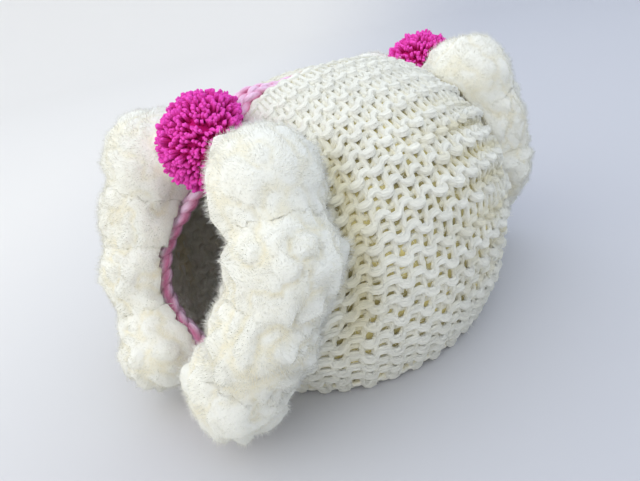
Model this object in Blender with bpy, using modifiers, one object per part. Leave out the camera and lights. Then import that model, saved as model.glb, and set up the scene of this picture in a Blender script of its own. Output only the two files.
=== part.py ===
"""Hand-knitted tea cosy for a small round teapot, modelled empty and standing on its hem.

Two garter-stitch panels are bowed over the pot and joined along the crest and below
the two openings, one for the spout (toward -X) and one for the handle (toward +X).
Each panel has a knitted edging on its free sides. Four pompoms sit on each panel beside
each opening, and one more crowns the top of each opening.
Units are metres, +Z is up, and the origin is on the resting plane, under the middle.
"""
import math

import bmesh
import bpy
import numpy as np

MM = 0.001

# Driving sizes
CLOTH = 7.0 * MM             # knitted cloth, measured over its ridges
GAP = 0.3 * MM               # between pieces that touch
EDGING_RADIUS = 2.5 * MM     # knitted edging along the panels' free sides
EDGING_CLEARANCE = 0.6 * MM  # edging to the panel's cut face
CORNER_EASE = 3.0 * MM       # the edging swings this much wider where the crest meets an opening
CORNER_STATIONS = 2.0        # and does so over about this many stations each way
CORNER_SMOOTHING = 3         # smoothing passes round each corner
SEAM_SINK = 3.0 * MM         # the edgings lie this much deeper along the rear of the crest
SEAM_RISE = 2.5 * MM         # and this much higher at its spout end
CREST_LEAN = 8.0 * MM        # how much higher the crest is near the spout than near the handle
BALL_RADIUS = 22.0 * MM      # white pompoms
TOP_BALL_RADIUS = 21.0 * MM  # coloured pompoms
HANDLE_FULLNESS = 0.35       # how much squarer the panel bows toward the handle than toward the spout
FOLD_DEPTH = 1.6 * MM        # soft folds where the pompoms draw the cloth in
FOLD_PITCH = 0.125           # one fold to the next, as a share of the panel's height
FOLD_CLIMB = 0.03            # how far the folds fall toward the handle, as such a share
BELOW_HEM = 0.05             # the panels are drawn this share too long, then cut level
FLOOR_CUTTER = (0.4, 0.4, 0.05)

# A panel's shape, one line for each level between the hem (0) and the crest (1), in mm.
# spout and handle: where the panel's side edges run; mid: the panel's middle line;
# turn: how far the level's curve has turned when it meets the edges, in degrees;
# arch: below 1 the level rises to its middle height soon after the edge.
LEVEL_COLUMNS = ("level", "spout_x", "spout_y", "spout_z", "handle_x", "handle_y", "handle_z",
                 "mid_y", "mid_z", "turn", "arch")
LEVELS = (
    (0.00, -72, 6.0, 0, 80, 6.0, 0, 71.0, 0, 0, 1.00),
    (0.10, -84, 6.0, 14, 88, 6.0, 14, 80.0, 18, 6, 1.00),
    (0.18, -92, 8.0, 27, 91, 8.0, 27, 85.0, 34, 12, 1.00),
    (0.30, -92, 23, 42, 92, 17, 44, 88.0, 56, 20, 1.00),
    (0.44, -89, 32, 58, 92, 24, 60, 85.0, 82, 24, 1.00),
    (0.57, -82, 33, 74, 89, 25, 76, 74.0, 101, 26, 0.95),
    (0.70, -72, 28, 88, 85, 22, 88, 58.0, 115.5, 26, 0.90),
    (0.82, -62, 20, 100, 81, 17, 96, 39.0, 125.5, 24, 0.80),
    (0.92, -54, 12, 111, 77, 11.5, 101, 21.0, 132, 18, 0.66),
    (1.00, -48, 6.8, 118, 72, 6.8, 104, 6.8, 134.5, 12, 0.55),
)

# Pompoms beside each opening, from the top down: opening, panel, number and centre x, y, z in mm.
BALLS = (
    ("spout", "near", 1, -69, -40, 108),
    ("spout", "near", 2, -80, -54, 81),
    ("spout", "near", 3, -93, -47, 56),
    ("spout", "near", 4, -100, -31, 31),
    ("spout", "far", 1, -66, 40, 110),
    ("spout", "far", 2, -76, 46, 83),
    ("spout", "far", 3, -88, 41, 58),
    ("spout", "far", 4, -98, 26, 29),
    ("handle", "near", 1, 87, -36, 107),
    ("handle", "near", 2, 93, -43, 81),
    ("handle", "near", 3, 95, -44, 54),
    ("handle", "near", 4, 100, -29, 28),
    ("handle", "far", 1, 91, 37, 99),
    ("handle", "far", 2, 95, 43, 75),
    ("handle", "far", 3, 97, 41, 51),
    ("handle", "far", 4, 100, 27, 28),
)
# Pompoms that crown the openings: opening and centre x, z in mm.
TOP_BALLS = (
    ("spout", -61, 118),
    ("handle", 97, 109),
)

ACROSS_STATIONS, ACROSS_STEP = np.linspace(-1, 1, 23, retstep=True)
LEVEL_STATIONS, LEVEL_STEP = np.linspace(0, 1, 33, retstep=True)

CREAM = (0.80, 0.78, 0.70, 1.0)
WHITE = (0.84, 0.83, 0.77, 1.0)
PINK = (0.80, 0.32, 0.52, 1.0)
MAGENTA = (0.66, 0.03, 0.30, 1.0)


def clear_scene():
    for thing in list(bpy.data.objects):
        bpy.data.objects.remove(thing, do_unlink=True)


def new_collection(name):
    collection = bpy.data.collections.new(name)
    bpy.context.scene.collection.children.link(collection)
    return collection


def yarn_material(name, colour, roughness):
    material = bpy.data.materials.new(name)
    material.use_nodes = True
    shader = material.node_tree.nodes["Principled BSDF"]
    shader.inputs["Base Color"].default_value = colour
    shader.inputs["Roughness"].default_value = roughness
    shader.inputs["Metallic"].default_value = 0.0
    return material


def add_object(name, data, material, collection):
    thing = bpy.data.objects.new(name, data)
    thing.data.materials.append(material)
    collection.objects.link(thing)
    return thing


def ramp(value, start, end):
    """0 up to start, 1 from end on, straight between them; start may be the larger."""
    return np.clip((value - start) / (end - start), 0, 1)


def smooth_column(name, level):
    """Monotone cubic through one column of LEVELS, read at an array of levels."""
    table = np.array(LEVELS, float)
    x = table[:, 0]
    y = table[:, LEVEL_COLUMNS.index(name)]
    step = np.diff(x)
    slope = np.diff(y) / step
    tangent = np.concatenate([slope[:1], np.zeros(len(x) - 2), slope[-1:]])
    same = slope[:-1] * slope[1:] > 0
    tangent[1:-1][same] = 2.0 * (slope[:-1] * slope[1:])[same] / (slope[:-1] + slope[1:])[same]
    level = np.asarray(level, float)
    k = np.clip(np.searchsorted(x, level, side="right") - 1, 0, len(step) - 1)
    u = (level - x[k]) / step[k]
    inside = (y[k] * (1 + 2 * u) * (1 - u) ** 2 + tangent[k] * step[k] * u * (1 - u) ** 2
              + y[k + 1] * u * u * (3 - 2 * u) - tangent[k + 1] * step[k] * u * u * (1 - u))
    below = y[0] + tangent[0] * (level - x[0])
    return np.where(level < x[0], below, inside)


def plain_surface(across, level):
    """Outer face of the -Y panel without its folds; across runs -1 (spout) to 1 (handle).

    Each level is part of an ellipse: it starts at the spout edge, bows out to the middle
    line and comes back to the handle edge.
    """
    turn = np.radians(smooth_column("turn", level))
    angle = turn + (math.pi - 2 * turn) * (across + 1) / 2
    out = np.clip((np.sin(angle) - np.sin(turn)) / (1 - np.sin(turn)), 0, 1)
    share = (1 - np.cos(angle) / np.cos(turn)) / 2
    start = [smooth_column("spout_" + axis, level) for axis in "xyz"]
    end = [smooth_column("handle_" + axis, level) for axis in "xyz"]
    chord = [a + (b - a) * share for a, b in zip(start, end)]
    y = chord[1] + (smooth_column("mid_y", level) - chord[1]) * out ** (1 - HANDLE_FULLNESS * share)
    z = chord[2] + (smooth_column("mid_z", level) - chord[2]) * out ** smooth_column("arch", level)
    z = z + CREST_LEAN / MM * ramp(level, 0.75, 1) * (0.5 - share) * out
    return np.stack([chord[0], -y, z], axis=-1) * MM


def surface_normal(across, level):
    """Outward unit normal of the plain surface, over the width of one station each way."""
    left = np.maximum(across - ACROSS_STEP, -1)
    right = np.minimum(across + ACROSS_STEP, 1)
    above = np.minimum(level + LEVEL_STEP, 1)
    along = plain_surface(right, level) - plain_surface(left, level)
    up = plain_surface(across, above) - plain_surface(across, level - LEVEL_STEP)
    normal = np.cross(along, up)
    return normal / np.linalg.norm(normal, axis=-1, keepdims=True)


def fold_height(across, level):
    """Soft folds along the rows, deepest a little in from each opening's edge.

    They fade out over the middle of the panel, toward the hem and toward the crest.
    """
    side = ramp(np.abs(across + 0.1), 0.25, 0.65) * ramp(np.abs(across), 1.12, 0.82)
    rise = ramp(level, 0.12, 0.32) * ramp(level, 0.9, 0.65)
    wave = np.cos(2 * math.pi * (level + FOLD_CLIMB * across) / FOLD_PITCH)
    return FOLD_DEPTH * side * rise * (wave - 1) / 2


def panel_surface(across, level):
    """Outer face of the -Y panel with its folds."""
    fold = fold_height(across, level)[..., None]
    return plain_surface(across, level) + surface_normal(across, level) * fold


def grid_mesh(name, points):
    """Quad mesh over a rectangular array of points."""
    rows, columns = points.shape[:2]
    index = np.arange(rows * columns).reshape(rows, columns)
    quads = np.stack([index[:-1, :-1], index[:-1, 1:], index[1:, 1:], index[1:, :-1]], axis=-1)
    mesh = bpy.data.meshes.new(name)
    mesh.from_pydata(points.reshape(-1, 3).tolist(), [], quads.reshape(-1, 4).tolist())
    return mesh


def build_panel(name, side, material, collection, floor):
    """One bowed panel: an open surface thickened inward and cut level at the hem."""
    level = np.concatenate([[-BELOW_HEM], LEVEL_STATIONS])
    points = panel_surface(*np.meshgrid(ACROSS_STATIONS, level))
    points[..., 1] *= -side
    if side > 0:
        points = points[:, ::-1]
    mesh = grid_mesh(name, points)
    mesh.shade_smooth()
    panel = add_object(name, mesh, material, collection)
    shell = panel.modifiers.new("Cloth thickness", "SOLIDIFY")
    shell.thickness = CLOTH
    shell.offset = -1
    cut = panel.modifiers.new("Level hem", "BOOLEAN")
    cut.operation = "DIFFERENCE"
    cut.object = floor
    return panel


def edging_route():
    """Centre line of the edging of the -Y panel: up the spout side, over the crest, down again.

    It passes every station of the panel's free sides, clear of the cloth's cut face.
    """
    side_level = LEVEL_STATIONS[1:]
    crest_across = ACROSS_STATIONS[1:-1]
    across = np.concatenate([-np.ones(len(side_level)), crest_across, np.ones(len(side_level))])
    level = np.concatenate([side_level, np.ones(len(crest_across)), side_level[::-1]])
    edge = panel_surface(across, level)
    normal = surface_normal(across, level)
    away = np.cross(normal, np.gradient(edge, axis=0))
    away /= np.linalg.norm(away, axis=-1, keepdims=True)
    sunk = SEAM_SINK * ramp(across, -0.55, -0.35) * ramp(across, 0.9, 0.7)
    sunk = np.where(level == 1, sunk - SEAM_RISE * ramp(across, -0.5, -0.65), 0)
    order = np.arange(len(level))
    corner = np.zeros(len(level))
    for station in (len(side_level) - 1, len(level) - len(side_level)):
        corner += np.exp(-((order - station) / CORNER_STATIONS) ** 2)
    reach = EDGING_RADIUS + EDGING_CLEARANCE + CORNER_EASE * corner
    route = edge - normal * (CLOTH / 2 + sunk)[:, None] + away * reach[:, None]
    for _ in range(CORNER_SMOOTHING):
        middle = (route[:-2] + 2 * route[1:-1] + route[2:]) / 4
        route[1:-1] += (middle - route[1:-1]) * np.minimum(corner[1:-1], 1)[:, None]
    route[:, 1] = np.minimum(route[:, 1], -(EDGING_RADIUS + GAP / 2))
    return route


def build_edging(name, side, material, collection):
    """Round edging as a bevelled curve, turned into a closed mesh."""
    route = edging_route()
    curve = bpy.data.curves.new(name, "CURVE")
    curve.dimensions = "3D"
    curve.bevel_depth = EDGING_RADIUS
    curve.bevel_resolution = 1
    curve.use_fill_caps = True
    spline = curve.splines.new("POLY")
    spline.points.add(len(route) - 1)
    for point, place in zip(spline.points, route):
        point.co = (place[0], -side * place[1], place[2], 1.0)
    return add_object(name, curve, material, collection)


def build_floor_cutter(material, collection):
    """A slab under the resting plane that the panels' hems are cut level with."""
    mesh = bpy.data.meshes.new("floor_cutter")
    slab = bmesh.new()
    bmesh.ops.create_cube(slab, size=1.0)
    bmesh.ops.scale(slab, vec=FLOOR_CUTTER, verts=slab.verts)
    slab.to_mesh(mesh)
    slab.free()
    floor = add_object("floor_cutter", mesh, material, collection)
    floor.location.z = -FLOOR_CUTTER[2] / 2
    floor.hide_render = True
    floor.display_type = "WIRE"
    return floor


def cloth_samples():
    """Points over both panels' outer faces and round their edgings, for seating the pompoms."""
    across, level = np.meshgrid(np.linspace(-1, 1, 121), np.linspace(0, 1, 101))
    cloth = panel_surface(across, level).reshape(-1, 3)
    route = edging_route()
    route = np.concatenate([route, (route[1:] + route[:-1]) / 2])
    reach = np.array([(x, y, z) for x in (-1, 0, 1) for y in (-1, 0, 1) for z in (-1, 0, 1) if x or y or z])
    reach = EDGING_RADIUS * reach / np.linalg.norm(reach, axis=1, keepdims=True)
    edging = (route[:, None] + reach[None]).reshape(-1, 3)
    near = np.concatenate([cloth, edging])
    return np.concatenate([near, near * (1, -1, 1)])


def pompom_places():
    """Name, centre and radius of every pompom."""
    places = []
    for side, panel, number, x, y, z in BALLS:
        places.append((f"pompom_{side}_{panel}_{number}", np.array([x, y, z]) * MM, BALL_RADIUS))
    for side, x, z in TOP_BALLS:
        places.append((f"pompom_{side}_top", np.array([x, 0, z]) * MM, TOP_BALL_RADIUS))
    return places


def flatten(ball, point, normal):
    """Cut a ball off at a plane and close the flat that is left."""
    geometry = ball.verts[:] + ball.edges[:] + ball.faces[:]
    bmesh.ops.bisect_plane(ball, geom=geometry, dist=1e-7, plane_co=point, plane_no=normal, clear_outer=True)
    rim = [edge for edge in ball.edges if edge.is_boundary]
    if rim:
        bmesh.ops.contextual_create(ball, geom=rim)


def build_pompom(place, places, cloth, material, collection):
    """A ball pressed flat against its neighbours and against the cloth that carries it."""
    name, centre, radius = place
    ball = bmesh.new()
    bmesh.ops.create_icosphere(ball, subdivisions=3, radius=radius)
    for other_name, other_centre, other_radius in places:
        between = other_centre - centre
        distance = np.linalg.norm(between)
        if other_name == name or distance > radius + other_radius:
            continue
        reach = (distance ** 2 + radius ** 2 - other_radius ** 2) / (2 * distance)
        direction = between / distance
        flatten(ball, direction * (reach - GAP / 2), direction)
    away = cloth - centre
    distance = np.linalg.norm(away, axis=1)
    inside = distance < radius
    while inside.any():
        nearest = np.where(inside, distance, np.inf).argmin()
        direction = away[nearest] / distance[nearest]
        reach = distance[nearest] - GAP
        flatten(ball, direction * reach, direction)
        inside &= away @ direction < distance[nearest] - 1e-9
    mesh = bpy.data.meshes.new(name)
    ball.to_mesh(mesh)
    ball.free()
    mesh.shade_smooth()
    pompom = add_object(name, mesh, material, collection)
    pompom.location = centre
    return pompom


def main():
    clear_scene()
    parts = new_collection("tea_cosy")
    guides = new_collection("cutters")
    cream = yarn_material("cream_yarn", CREAM, 0.9)
    white = yarn_material("white_pompom_yarn", WHITE, 0.95)
    pink = yarn_material("pink_edging_yarn", PINK, 0.9)
    magenta = yarn_material("magenta_pompom_yarn", MAGENTA, 0.85)

    floor = build_floor_cutter(cream, guides)
    for name, side in (("near", -1), ("far", 1)):
        build_panel("panel_" + name, side, cream, parts, floor)
        build_edging("edging_" + name, side, pink, parts)

    cloth = cloth_samples()
    places = pompom_places()
    for place in places:
        build_pompom(place, places, cloth, magenta if place[0].endswith("top") else white, parts)


if __name__ == "__main__":
    main()
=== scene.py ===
"""Looks of the hand-knitted tea cosy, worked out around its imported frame.

Each panel is knitted row by row from one long yarn in garter stitch, on a thin ground that
closes the cloth behind it. Each edging is a plait of three strands. White pompoms are
lumpy balls of fleece under fine fibres, and magenta ones are made of cut yarn ends.
Units are metres, in the frame's own axes: +Z is up, -X is toward the spout opening.
"""

import math

import bmesh
import bpy
import numpy as np
from mathutils import Matrix, Vector


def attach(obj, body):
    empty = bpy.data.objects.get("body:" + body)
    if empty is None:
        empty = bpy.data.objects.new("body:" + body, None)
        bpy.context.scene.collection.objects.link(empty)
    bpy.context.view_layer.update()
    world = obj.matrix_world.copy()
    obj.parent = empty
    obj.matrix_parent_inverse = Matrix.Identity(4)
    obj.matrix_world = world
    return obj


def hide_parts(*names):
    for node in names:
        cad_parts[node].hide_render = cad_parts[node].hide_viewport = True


bl_info = {
    "name": "Knitted tea cosy",
    "version": (1, 0, 0),
    "blender": (4, 5, 0),
    "location": "View3D > Sidebar > Tea cosy",
    "description": "Knits and dresses a tea cosy with pompoms around its frame",
    "category": "Object",
}

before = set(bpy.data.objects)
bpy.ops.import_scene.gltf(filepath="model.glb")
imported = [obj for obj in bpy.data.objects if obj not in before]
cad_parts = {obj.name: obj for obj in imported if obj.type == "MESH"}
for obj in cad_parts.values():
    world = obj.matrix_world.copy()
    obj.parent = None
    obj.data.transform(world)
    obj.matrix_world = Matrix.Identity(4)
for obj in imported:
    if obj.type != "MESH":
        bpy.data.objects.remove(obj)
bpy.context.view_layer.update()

MM = 0.001

# The cloth's shape, as in the part's source: one line for each level between the hem (0)
# and the crest (1), in mm. spout and handle: the panel's side edges; mid: its middle line;
# turn: how far the level's curve has turned where it meets the edges, in degrees;
# arch: below 1 the level rises to its middle height soon after the edge.
LEVEL_COLUMNS = ("level", "spout_x", "spout_y", "spout_z", "handle_x", "handle_y", "handle_z",
                 "mid_y", "mid_z", "turn", "arch")
LEVELS = (
    (0.00, -72, 6.0, 0, 80, 6.0, 0, 71.0, 0, 0, 1.00),
    (0.10, -84, 6.0, 14, 88, 6.0, 14, 80.0, 18, 6, 1.00),
    (0.18, -92, 8.0, 27, 91, 8.0, 27, 85.0, 34, 12, 1.00),
    (0.30, -92, 23, 42, 92, 17, 44, 88.0, 56, 20, 1.00),
    (0.44, -89, 32, 58, 92, 24, 60, 85.0, 82, 24, 1.00),
    (0.57, -82, 33, 74, 89, 25, 76, 74.0, 101, 26, 0.95),
    (0.70, -72, 28, 88, 85, 22, 88, 58.0, 115.5, 26, 0.90),
    (0.82, -62, 20, 100, 81, 17, 96, 39.0, 125.5, 24, 0.80),
    (0.92, -54, 12, 111, 77, 11.5, 101, 21.0, 132, 18, 0.66),
    (1.00, -48, 6.8, 118, 72, 6.8, 104, 6.8, 134.5, 12, 0.55),
)
CLOTH = 7.0 * MM                # knitted cloth, measured over its ridges
GAP = 0.3 * MM                  # between pieces that touch
EDGING_RADIUS = 2.5 * MM        # knitted edging along the panels' free sides
EDGING_CLEARANCE = 0.6 * MM     # edging to the panel's edge
CORNER_EASE = 3.0 * MM          # the edging swings this much wider where crest and opening meet
CORNER_STATIONS = 2.0           # and does so over about this many stations each way
CORNER_SMOOTHING = 3            # smoothing passes round each corner
SEAM_SINK = 3.0 * MM            # the edgings lie this much deeper along the rear of the crest
SEAM_RISE = 2.5 * MM            # and this much higher at its spout end
EDGING_LEVELS = 33              # stations of the edging up a side
EDGING_ACROSS = 23              # and along the crest
CREST_LEAN = 8.0 * MM           # how much higher the crest is near the spout than near the handle
HANDLE_FULLNESS = 0.35          # how much squarer the panel bows toward the handle
FOLD_DEPTH = 1.6 * MM           # soft folds where the pompoms draw the cloth in
FOLD_PITCH = 0.125              # one fold to the next, as a share of the panel's height
FOLD_CLIMB = 0.03               # how far the folds fall toward the handle, as such a share
ACROSS_STEP = 2 / 22            # the cloth's direction is taken over this much across, each way
LEVEL_STEP = 1 / 32             # and over this much in level

SAMPLES = 401                   # points along the lines that rows and stitches are placed by
SPACING_LEVEL = 0.4             # the level whose length spaces the stitches
GROUND_REACH = 0.985            # how far out ground and hem go; the panel's side edges are at 1
GROUND_LEVELS = (0.012, 0.995)  # levels between which the ground runs
FURROW_PITCH = 0.085            # one furrow to the next, as a share of the panel's height
CREST_RAMP = (0.72, 0.98)       # levels between which a panel's crest is lifted or sunk
GROUND_CREST_SHARE = 0.5        # how much of the far crest's drop its ground follows
MIDDLE_HEIGHT = 0.2             # a panel from hem to crest in metres, roughly
HEM_PLAIT = (0.9 * MM, 0.8 * MM, 1.75 * MM)     # a hem strand's swings and its radius
SEAM_OVERLAP = 0.5 * MM         # fleece reaches this far past the plane where two pompoms meet
BLEND = 5.0 * MM                # how softly pompoms melt into each other
FLOOR_GAP = 0.1 * MM            # fleece above the table
PLIES = 3                       # plies in a magenta yarn end
# A magenta pompom's core is painted all in its shade colour.
CORE_SHARE = 0.76               # a magenta pompom's dark core, as a share of its solid
ROOT_SHARE = 0.7                # where its plies start, as such a share
# A ply from root to tip: share of its length, and its thickness there.
PLY_PROFILE = np.array(((0.0, 0.7), (0.55, 0.9), (0.93, 1.12), (1.0, 0.8)))

# Pompoms beside each opening, from the top down: opening, panel, number and centre x, y, z in mm.
BALLS = (
    ("spout", "near", 1, -69, -40, 108),
    ("spout", "near", 2, -80, -54, 81),
    ("spout", "near", 3, -93, -47, 56),
    ("spout", "near", 4, -100, -31, 31),
    ("spout", "far", 1, -66, 40, 110),
    ("spout", "far", 2, -76, 46, 83),
    ("spout", "far", 3, -88, 41, 58),
    ("spout", "far", 4, -98, 26, 29),
    ("handle", "near", 1, 87, -36, 107),
    ("handle", "near", 2, 93, -43, 81),
    ("handle", "near", 3, 95, -44, 54),
    ("handle", "near", 4, 100, -29, 28),
    ("handle", "far", 1, 91, 37, 99),
    ("handle", "far", 2, 95, 43, 75),
    ("handle", "far", 3, 97, 41, 51),
    ("handle", "far", 4, 100, 27, 28),
)
# Pompoms that crown the openings: opening and centre x, z in mm.
TOP_BALLS = (
    ("spout", -61, 118),
    ("handle", 97, 109),
)


# ---------------------------------------------------------------- shape of the cloth

def ramp(value, start, end):
    """0 up to start, 1 from end on, straight between them; start may be the larger."""
    return np.clip((value - start) / (end - start), 0, 1)


def unit(vectors):
    """The vectors with their length made 1."""
    return vectors / np.linalg.norm(vectors, axis=-1, keepdims=True)


def smooth_column(name, level):
    """Monotone cubic through one column of LEVELS, read at an array of levels."""
    table = np.array(LEVELS, float)
    x = table[:, 0]
    y = table[:, LEVEL_COLUMNS.index(name)]
    step = np.diff(x)
    slope = np.diff(y) / step
    tangent = np.concatenate([slope[:1], np.zeros(len(x) - 2), slope[-1:]])
    same = slope[:-1] * slope[1:] > 0
    tangent[1:-1][same] = 2.0 * (slope[:-1] * slope[1:])[same] / (slope[:-1] + slope[1:])[same]
    level = np.asarray(level, float)
    k = np.clip(np.searchsorted(x, level, side="right") - 1, 0, len(step) - 1)
    u = (level - x[k]) / step[k]
    inside = (y[k] * (1 + 2 * u) * (1 - u) ** 2 + tangent[k] * step[k] * u * (1 - u) ** 2
              + y[k + 1] * u * u * (3 - 2 * u) - tangent[k + 1] * step[k] * u * u * (1 - u))
    below = y[0] + tangent[0] * (level - x[0])
    return np.where(level < x[0], below, inside)


def plain_surface(across, level):
    """Outer face of the -Y panel without its folds; across runs -1 (spout) to 1 (handle).

    Each level is part of an ellipse: it starts at the spout edge, bows out to the middle
    line and comes back to the handle edge, where it is squarer. The crest leans: it is
    higher near the spout than near the handle.
    """
    turn = np.radians(smooth_column("turn", level))
    angle = turn + (math.pi - 2 * turn) * (across + 1) / 2
    out = np.clip((np.sin(angle) - np.sin(turn)) / (1 - np.sin(turn)), 0, 1)
    share = (1 - np.cos(angle) / np.cos(turn)) / 2
    start = [smooth_column("spout_" + axis, level) for axis in "xyz"]
    end = [smooth_column("handle_" + axis, level) for axis in "xyz"]
    chord = [a + (b - a) * share for a, b in zip(start, end)]
    y = chord[1] + (smooth_column("mid_y", level) - chord[1]) * out ** (1 - HANDLE_FULLNESS * share)
    z = chord[2] + (smooth_column("mid_z", level) - chord[2]) * out ** smooth_column("arch", level)
    z = z + CREST_LEAN / MM * ramp(level, 0.75, 1) * (0.5 - share) * out
    return np.stack([chord[0], -y, z], axis=-1) * MM


def surface_normal(across, level):
    """Outward unit normal of the plain surface, over the width of one station each way."""
    left = np.maximum(across - ACROSS_STEP, -1)
    right = np.minimum(across + ACROSS_STEP, 1)
    above = np.minimum(level + LEVEL_STEP, 1)
    along = plain_surface(right, level) - plain_surface(left, level)
    up = plain_surface(across, above) - plain_surface(across, level - LEVEL_STEP)
    return unit(np.cross(along, up))


def fold_height(across, level):
    """Soft folds along the rows, deepest a little in from each opening's edge."""
    side = ramp(np.abs(across + 0.1), 0.25, 0.65) * ramp(np.abs(across), 1.12, 0.82)
    rise = ramp(level, 0.12, 0.32) * ramp(level, 0.9, 0.65)
    wave = np.cos(2 * math.pi * (level + FOLD_CLIMB * across) / FOLD_PITCH)
    return FOLD_DEPTH * side * rise * (wave - 1) / 2


def panel_surface(across, level):
    """Outer face of the -Y panel with its folds."""
    fold = fold_height(across, level)[..., None]
    return plain_surface(across, level) + surface_normal(across, level) * fold


def arc_share(points):
    """Share of a line's whole length that lies before each of its points, and that length."""
    pieces = np.linalg.norm(np.diff(points, axis=0), axis=1)
    run = np.concatenate([[0], np.cumsum(pieces)])
    return run / run[-1], run[-1]


def resampled(values, share, places):
    """Vectors along a line, read at some shares of its length; share is that of each one."""
    return np.stack([np.interp(places, share, values[:, axis]) for axis in range(3)], axis=1)


# ---------------------------------------------------------------- meshes from arrays

def add_object(name, data):
    """A new object in the scene."""
    thing = bpy.data.objects.new(name, data)
    bpy.context.scene.collection.objects.link(thing)
    return thing


def new_piece(name, points, faces, material, body="root", corner_uv=None, sunk=None):
    """One finished piece at the origin, from an array of points and arrays of face corners.

    faces is a list of integer arrays, one array for each number of corners. corner_uv holds
    the texture place of every corner in the same order. sunk is 0 where a point stands out
    and 1 where it lies deep between its neighbours; it paints shade, for the wool materials
    turn to their shade colour as sunk rises.
    """
    mesh = bpy.data.meshes.new(name)
    corners = np.concatenate([face.reshape(-1) for face in faces]).astype(np.int32)
    sizes = np.concatenate([np.full(len(face), face.shape[1]) for face in faces]).astype(np.int32)
    starts = np.concatenate([[0], np.cumsum(sizes)[:-1]]).astype(np.int32)
    mesh.vertices.add(len(points))
    mesh.vertices.foreach_set("co", np.asarray(points, np.float32).reshape(-1))
    mesh.loops.add(len(corners))
    mesh.loops.foreach_set("vertex_index", corners)
    mesh.polygons.add(len(sizes))
    mesh.polygons.foreach_set("loop_start", starts)
    if corner_uv is not None:
        layer = mesh.uv_layers.new(name="UVMap")
        layer.data.foreach_set("uv", np.asarray(corner_uv, np.float32).reshape(-1))
    if sunk is not None:
        attribute = mesh.attributes.new("sunk", "FLOAT", "POINT")
        attribute.data.foreach_set("value", np.asarray(sunk, np.float32))
    mesh.update(calc_edges=True)
    mesh.shade_smooth()
    mesh.materials.append(material)
    piece = add_object(name, mesh)
    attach(piece, body)
    return piece


def circles(beside, above, angle):
    """Points of unit circles, each in the plane of two directions that are square."""
    return np.cos(angle)[:, None] * beside[:, None] + np.sin(angle)[:, None] * above[:, None]


def ring_quads(index):
    """Quads between rings of points; index has a row of point numbers for each ring."""
    turned = np.roll(index, -1, axis=1)
    return np.stack([index[:-1], index[1:], turned[1:], turned[:-1]], axis=-1).reshape(-1, 4)


def tube(path, radius, facing, sides):
    """A yarn's skin: a ring of points round every point of a path, joined by quads.

    A ring lies square to the path. Its first direction is the path's direction crossed with
    facing, the second is square to both. Returns points, faces and texture places, where u
    is the length along the yarn in metres and v goes once round it.
    """
    along = unit(np.gradient(path, axis=0))
    beside = unit(np.cross(along, facing))
    ring = circles(beside, np.cross(beside, along), 2 * math.pi * np.arange(sides) / sides)
    points = path[:, None] + ring * np.asarray(radius).reshape(-1, 1, 1)
    index = np.arange(len(path) * sides).reshape(len(path), sides)
    caps = np.stack([index[0], index[-1][::-1]])
    share, length = arc_share(path)
    u = np.broadcast_to((share * length)[:, None], (len(path), sides))
    v = np.broadcast_to(np.arange(sides)[None] / sides, (len(path), sides))
    place = np.stack([u, v], axis=-1)
    beyond = place + (0, 1 / sides)
    quad_uv = np.stack([place[:-1], place[1:], beyond[1:], beyond[:-1]], axis=2).reshape(-1, 2)
    cap_uv = np.zeros((2 * sides, 2))
    return points.reshape(-1, 3), [ring_quads(index), caps], np.concatenate([quad_uv, cap_uv])


def joined(parts):
    """Several (points, [quads, caps], texture places) as one; every part has both kinds."""
    offset = 0
    points = []
    faces = [[], []]
    uv = [[], []]
    for part_points, part_faces, part_uv in parts:
        points.append(part_points)
        split = part_faces[0].size
        for kind in (0, 1):
            faces[kind].append(part_faces[kind] + offset)
        uv[0].append(part_uv[:split])
        uv[1].append(part_uv[split:])
        offset += len(part_points)
    return (np.concatenate(points), [np.concatenate(kind) for kind in faces],
            np.concatenate(uv[0] + uv[1]))


def spikes(base, tip, radius, out):
    """Thin closed fibres, each with three sides, a foot round its base and one tip.

    One side faces out and is the widest, so fibres take the light as the surface under them
    does. Returns their points, four to a fibre, and their triangles.
    """
    along = unit(tip - base)
    beside = unit(np.cross(out, along))
    foot = circles(beside, np.cross(along, beside), np.radians((20, 160, 270))) * radius
    points = np.concatenate([base[:, None] + foot, tip[:, None]], axis=1)
    pattern = np.array([[0, 1, 3], [1, 2, 3], [2, 0, 3], [0, 2, 1]])
    triangles = 4 * np.arange(len(base))[:, None, None] + pattern[None]
    return points.reshape(-1, 3), triangles.reshape(-1, 3)


def sphere_directions(count, rng, jitter):
    """Unit vectors spread evenly over a sphere along a golden spiral, then shaken a little."""
    k = np.arange(count) + 0.5
    z = 1 - 2 * k / count
    turn = math.pi * (1 + 5 ** 0.5) * k
    flat = np.sqrt(1 - z * z)
    directions = np.stack([flat * np.cos(turn), flat * np.sin(turn), z], axis=1)
    return unit(directions + rng.normal(0, jitter / math.sqrt(count), directions.shape))


def soft_noise(points, size, rng):
    """Smooth noise between -1 and 1 whose lumps are about size across.

    Random values stand at the corners of a cubic lattice that repeats after some cells and
    is turned at random. They are blended inside a cell with the weights 3 f^2 - 2 f^3 along
    each axis.
    """
    cells = 32
    table = rng.uniform(-1, 1, (cells, cells, cells))
    axes, _ = np.linalg.qr(rng.normal(0, 1, (3, 3)))
    place = points @ axes / size + rng.uniform(0, cells, 3)
    cell = np.floor(place).astype(int)
    f = place - cell
    f = f * f * (3 - 2 * f)
    value = np.zeros(len(points))
    for corner in np.ndindex(2, 2, 2):
        weight = np.prod(np.where(corner, f, 1 - f), axis=1)
        x, y, z = ((cell + corner) % cells).T
        value += weight * table[x, y, z]
    return value


def flow(points, size, rng):
    """Three soft noises as one vector for each point, so that neighbours lean alike."""
    return np.stack([soft_noise(points, size, rng) for _ in range(3)], axis=1)


def last_faces_take(piece, material, count):
    """Give a piece's last faces their own material, and shade them flat."""
    piece.data.materials.append(material)
    last = np.arange(len(piece.data.polygons)) >= len(piece.data.polygons) - count
    piece.data.polygons.foreach_set("material_index", last.astype(np.int32))
    piece.data.polygons.foreach_set("use_smooth", ~last)


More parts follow.
